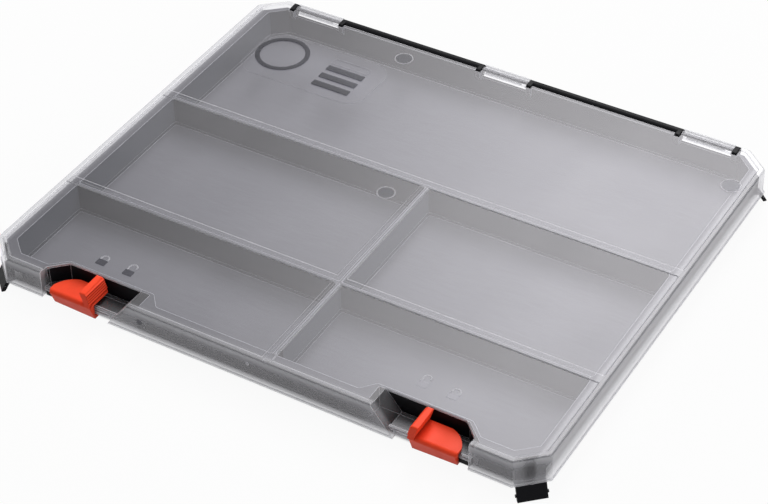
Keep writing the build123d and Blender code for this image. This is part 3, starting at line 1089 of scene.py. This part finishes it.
class BLADECASE_OT_sign_panel(bpy.types.Operator):
    """Adds the raised panel at the lid's back left corner, with its ring, bars and label outline"""

    bl_idname = "bladecase.sign_panel"
    bl_label = "Sign panel"

    def execute(self, context):
        signs = context.scene.blade_case_signs
        height = signs.relief / MM + SINK
        panel_foot = PANEL_TOP - SINK
        sign_foot = panel_foot + signs.relief / MM
        faint = frosted_polypropylene(
            context.scene.blade_case_lid, "Faintly frosted polypropylene", level=0.32
        )
        polished = polished_polypropylene("Polished polypropylene", "#bfbfc4")

        plate = rounded_outline(**PANEL)
        ring = ring_outlines(RING_CENTRE, signs.ring_diameter / 2 / MM, signs.ring_stroke / MM)
        half = BAR_WIDTH / 2
        bars = [(rounded_outline(BARS_X, (y - half, y + half), 0.4, 2), None) for y in BARS_Y]
        inner_x = (BARS_X[0] + LABEL_LINE, BARS_X[1] - LABEL_LINE)
        inner_y = (LABEL_Y[0] + LABEL_LINE, LABEL_Y[1] - LABEL_LINE)
        label = (
            rounded_outline(BARS_X, LABEL_Y, 0.6, 3),
            rounded_outline(inner_x, inner_y, 0.3, 3),
        )
        mould_into_lid(
            raised_plate("sign_panel", [(plate, None)], panel_foot, height, faint),
            raised_plate("sign_ring", [ring], sign_foot, height, polished),
            raised_plate("sign_bars", bars, sign_foot, height, polished),
            raised_plate("sign_outline", [label], sign_foot, height, faint),
        )
        return {"FINISHED"}


class BLADECASE_OT_lock_signs(bpy.types.Operator):
    """Adds an open and a closed padlock sign behind each latch"""

    bl_idname = "bladecase.lock_signs"
    bl_label = "Lock signs"

    def execute(self, context):
        height = context.scene.blade_case_signs.relief / MM + SINK
        foot = PANEL_TOP - SINK
        frosted = bpy.data.materials["Frosted polypropylene"]
        # Both pairs are alike on the real lid. The right pair lies in the softbox's reflection,
        # where the polish hardly shows, so it gets the faintly frosted finish as painted light
        finishes_by_light = {
            "left": bpy.data.materials["Polished polypropylene"],
            "right": bpy.data.materials["Faintly frosted polypropylene"],
        }
        for hand, side in (("left", -1), ("right", 1)):
            locks = [padlock_outlines(side * x, LOCK_Y[hand], shut) for x, shut in LOCK_OFFSETS]
            bodies = [(body, None) for body, shackle in locks]
            shackles = [(shackle, None) for body, shackle in locks]
            mould_into_lid(
                raised_plate(f"lock_bodies_{hand}", bodies, foot, height, finishes_by_light[hand]),
                raised_plate(f"lock_shackles_{hand}", shackles, foot, height, frosted),
            )
        return {"FINISHED"}


class BLADECASE_OT_mould_marks(bpy.types.Operator):
    """Adds the marks of the mould's pins on the lid's top, and its gate and boss marks in front"""

    bl_idname = "bladecase.mould_marks"
    bl_label = "Mould marks"

    def execute(self, context):
        frosted = bpy.data.materials["Frosted polypropylene"]
        polished = polished_polypropylene("Half-polished polypropylene", "#cbcbd0")
        foot = PANEL_TOP - SINK
        rims = [ring_outlines((x, y), radius, PIN_LINE, 48) for x, y, radius in PINS]
        inset = PIN_LINE + PIN_GAP
        discs = [(circle_outline((x, y), radius - inset, 48), None) for x, y, radius in PINS]
        gate = circle_outline(*GATE, 24)
        boss = circle_outline(*FRONT_BOSS, 32)
        # The skirt slants, so its marks start a little deeper
        front = {"foot": -FRONT_SINK, "height": FRONT_SINK + FRONT_RELIEF, "locate": on_front}
        mould_into_lid(
            raised_plate("pin_rings", rims, foot, PIN_LINE_RELIEF + SINK, frosted),
            raised_plate("pin_marks", discs, foot, PIN_RELIEF + SINK, polished),
            raised_plate("gate_mark", [(gate, None)], material=frosted, **front),
            raised_plate("front_boss", [(boss, None)], material=polished, **front),
        )
        return {"FINISHED"}


class BLADECASE_PT_panel(bpy.types.Panel):
    """Lists the case's settings and the operators that use them"""

    bl_idname = "BLADECASE_PT_panel"
    bl_label = "Blade Case"
    bl_space_type = "VIEW_3D"
    bl_region_type = "UI"
    bl_category = "Blade Case"

    def draw(self, context):
        groups = (
            (context.scene.blade_case_stage, ("bladecase.stage",)),
            (context.scene.blade_case_tray, ("bladecase.tray",)),
            (context.scene.blade_case_lid, ("bladecase.lid", "bladecase.mould_marks")),
            (context.scene.blade_case_latches, ("bladecase.latches",)),
            (context.scene.blade_case_signs, ("bladecase.sign_panel", "bladecase.lock_signs")),
        )
        for settings, operators in groups:
            box = self.layout.box()
            for name in settings.bl_rna.properties.keys():
                if name not in {"rna_type", "name"}:
                    box.prop(settings, name)
            for operator in operators:
                box.operator(operator)


GROUPS = {
    "blade_case_stage": StageSettings,
    "blade_case_tray": TraySettings,
    "blade_case_lid": LidSettings,
    "blade_case_latches": LatchSettings,
    "blade_case_signs": SignSettings,
}
OPERATORS = (
    BLADECASE_OT_stage,
    BLADECASE_OT_tray,
    BLADECASE_OT_lid,
    BLADECASE_OT_latches,
    BLADECASE_OT_sign_panel,
    BLADECASE_OT_lock_signs,
    BLADECASE_OT_mould_marks,
)


def register():
    for name, group in GROUPS.items():
        bpy.utils.register_class(group)
        setattr(bpy.types.Scene, name, PointerProperty(type=group))
    for operator in OPERATORS:
        bpy.utils.register_class(operator)
    bpy.utils.register_class(BLADECASE_PT_panel)


def unregister():
    bpy.utils.unregister_class(BLADECASE_PT_panel)
    for operator in reversed(OPERATORS):
        bpy.utils.unregister_class(operator)
    for name, group in reversed(list(GROUPS.items())):
        delattr(bpy.types.Scene, name)
        bpy.utils.unregister_class(group)


def main():
    """Builds the finished case round the frame."""
    register()
    for operator in OPERATORS:
        group, name = operator.bl_idname.split(".")
        if getattr(getattr(bpy.ops, group), name)() != {"FINISHED"}:
            raise RuntimeError(f"{operator.bl_label} didn't finish")


if __name__ == "__main__":
    main()
